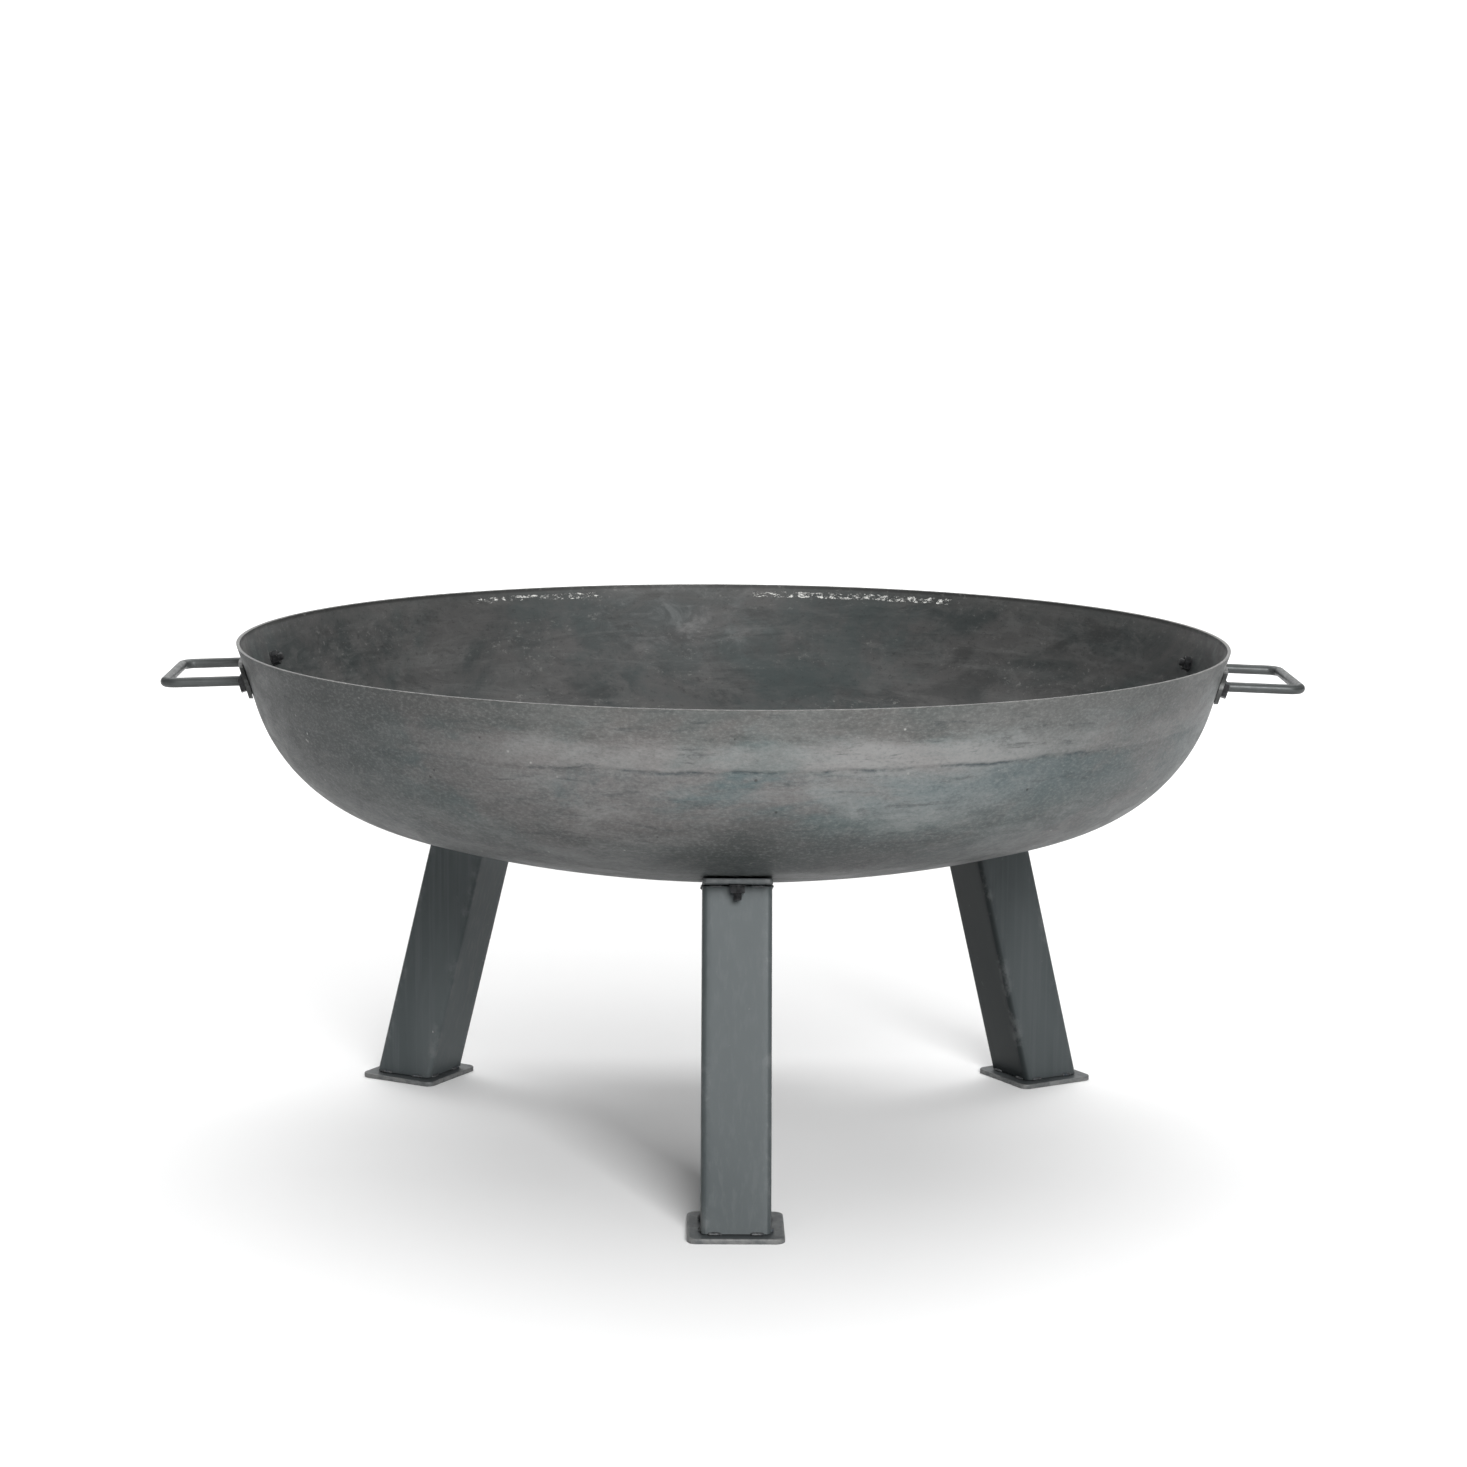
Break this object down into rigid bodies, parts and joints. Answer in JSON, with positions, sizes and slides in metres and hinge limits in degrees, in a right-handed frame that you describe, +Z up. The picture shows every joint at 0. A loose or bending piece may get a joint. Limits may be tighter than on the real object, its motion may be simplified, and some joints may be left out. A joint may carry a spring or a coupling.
{
  "type": "fire bowl",
  "caption": "Open dished steel fire bowl on splayed square-tube legs with foot plates, bolted on, with bent rod handles at the sides.",
  "frame": {"origin": "on the floor under the bowl's axis, which is the centre of the bounding box's base", "axes": "+Z up along the bowl's axis; +X from the left handle to the right handle; one leg points to -Y"},
  "size_m": [1.144, 1, 0.504],
  "materials": {
    "bowl_steel": "raw mill-finish sheet, streaked and lightly stained",
    "leg_paint": "smooth dark slate mill scale, light edge wear",
    "foot_plate_steel": "dark hot-rolled plate, worn edges",
    "top_plate_steel": "dark hot-rolled plate",
    "handle_bar": "raw round bar",
    "handle_flange": "raw flat bar bent to the wall",
    "weld_metal": "rippled dark weld bead",
    "black_bolt": "black oxide",
    "black_nut": "black oxide",
    "black_washer": "black oxide"
  },
  "bodies": {
    "root": {"bowl": "bowl_steel", "leg_front_tube": "leg_paint", "leg_front_foot_plate": "foot_plate_steel", "leg_front_top_plate": "top_plate_steel", "leg_front_foot_welds": "weld_metal", "leg_front_top_welds": "weld_metal", "leg_front_outer_bolt": "black_bolt", "leg_front_outer_nut": "black_nut", "leg_front_outer_washer": "black_washer", "leg_front_inner_bolt": "black_bolt", "leg_front_inner_nut": "black_nut", "leg_front_inner_washer": "black_washer", "leg_right_tube": "leg_paint", "leg_right_foot_plate": "foot_plate_steel", "leg_right_top_plate": "top_plate_steel", "leg_right_foot_welds": "weld_metal", "leg_right_top_welds": "weld_metal", "leg_right_outer_bolt": "black_bolt", "leg_right_outer_nut": "black_nut", "leg_right_outer_washer": "black_washer", "leg_right_inner_bolt": "black_bolt", "leg_right_inner_nut": "black_nut", "leg_right_inner_washer": "black_washer", "leg_left_tube": "leg_paint", "leg_left_foot_plate": "foot_plate_steel", "leg_left_top_plate": "top_plate_steel", "leg_left_foot_welds": "weld_metal", "leg_left_top_welds": "weld_metal", "leg_left_outer_bolt": "black_bolt", "leg_left_outer_nut": "black_nut", "leg_left_outer_washer": "black_washer", "leg_left_inner_bolt": "black_bolt", "leg_left_inner_nut": "black_nut", "leg_left_inner_washer": "black_washer", "handle_right_rod": "handle_bar", "handle_right_plate": "handle_flange", "handle_right_welds": "weld_metal", "handle_right_front_bolt": "black_bolt", "handle_right_front_nut": "black_nut", "handle_right_front_washer": "black_washer", "handle_right_rear_bolt": "black_bolt", "handle_right_rear_nut": "black_nut", "handle_right_rear_washer": "black_washer", "handle_left_rod": "handle_bar", "handle_left_plate": "handle_flange", "handle_left_welds": "weld_metal", "handle_left_front_bolt": "black_bolt", "handle_left_front_nut": "black_nut", "handle_left_front_washer": "black_washer", "handle_left_rear_bolt": "black_bolt", "handle_left_rear_nut": "black_nut", "handle_left_rear_washer": "black_washer"}
  },
  "joints": []
}
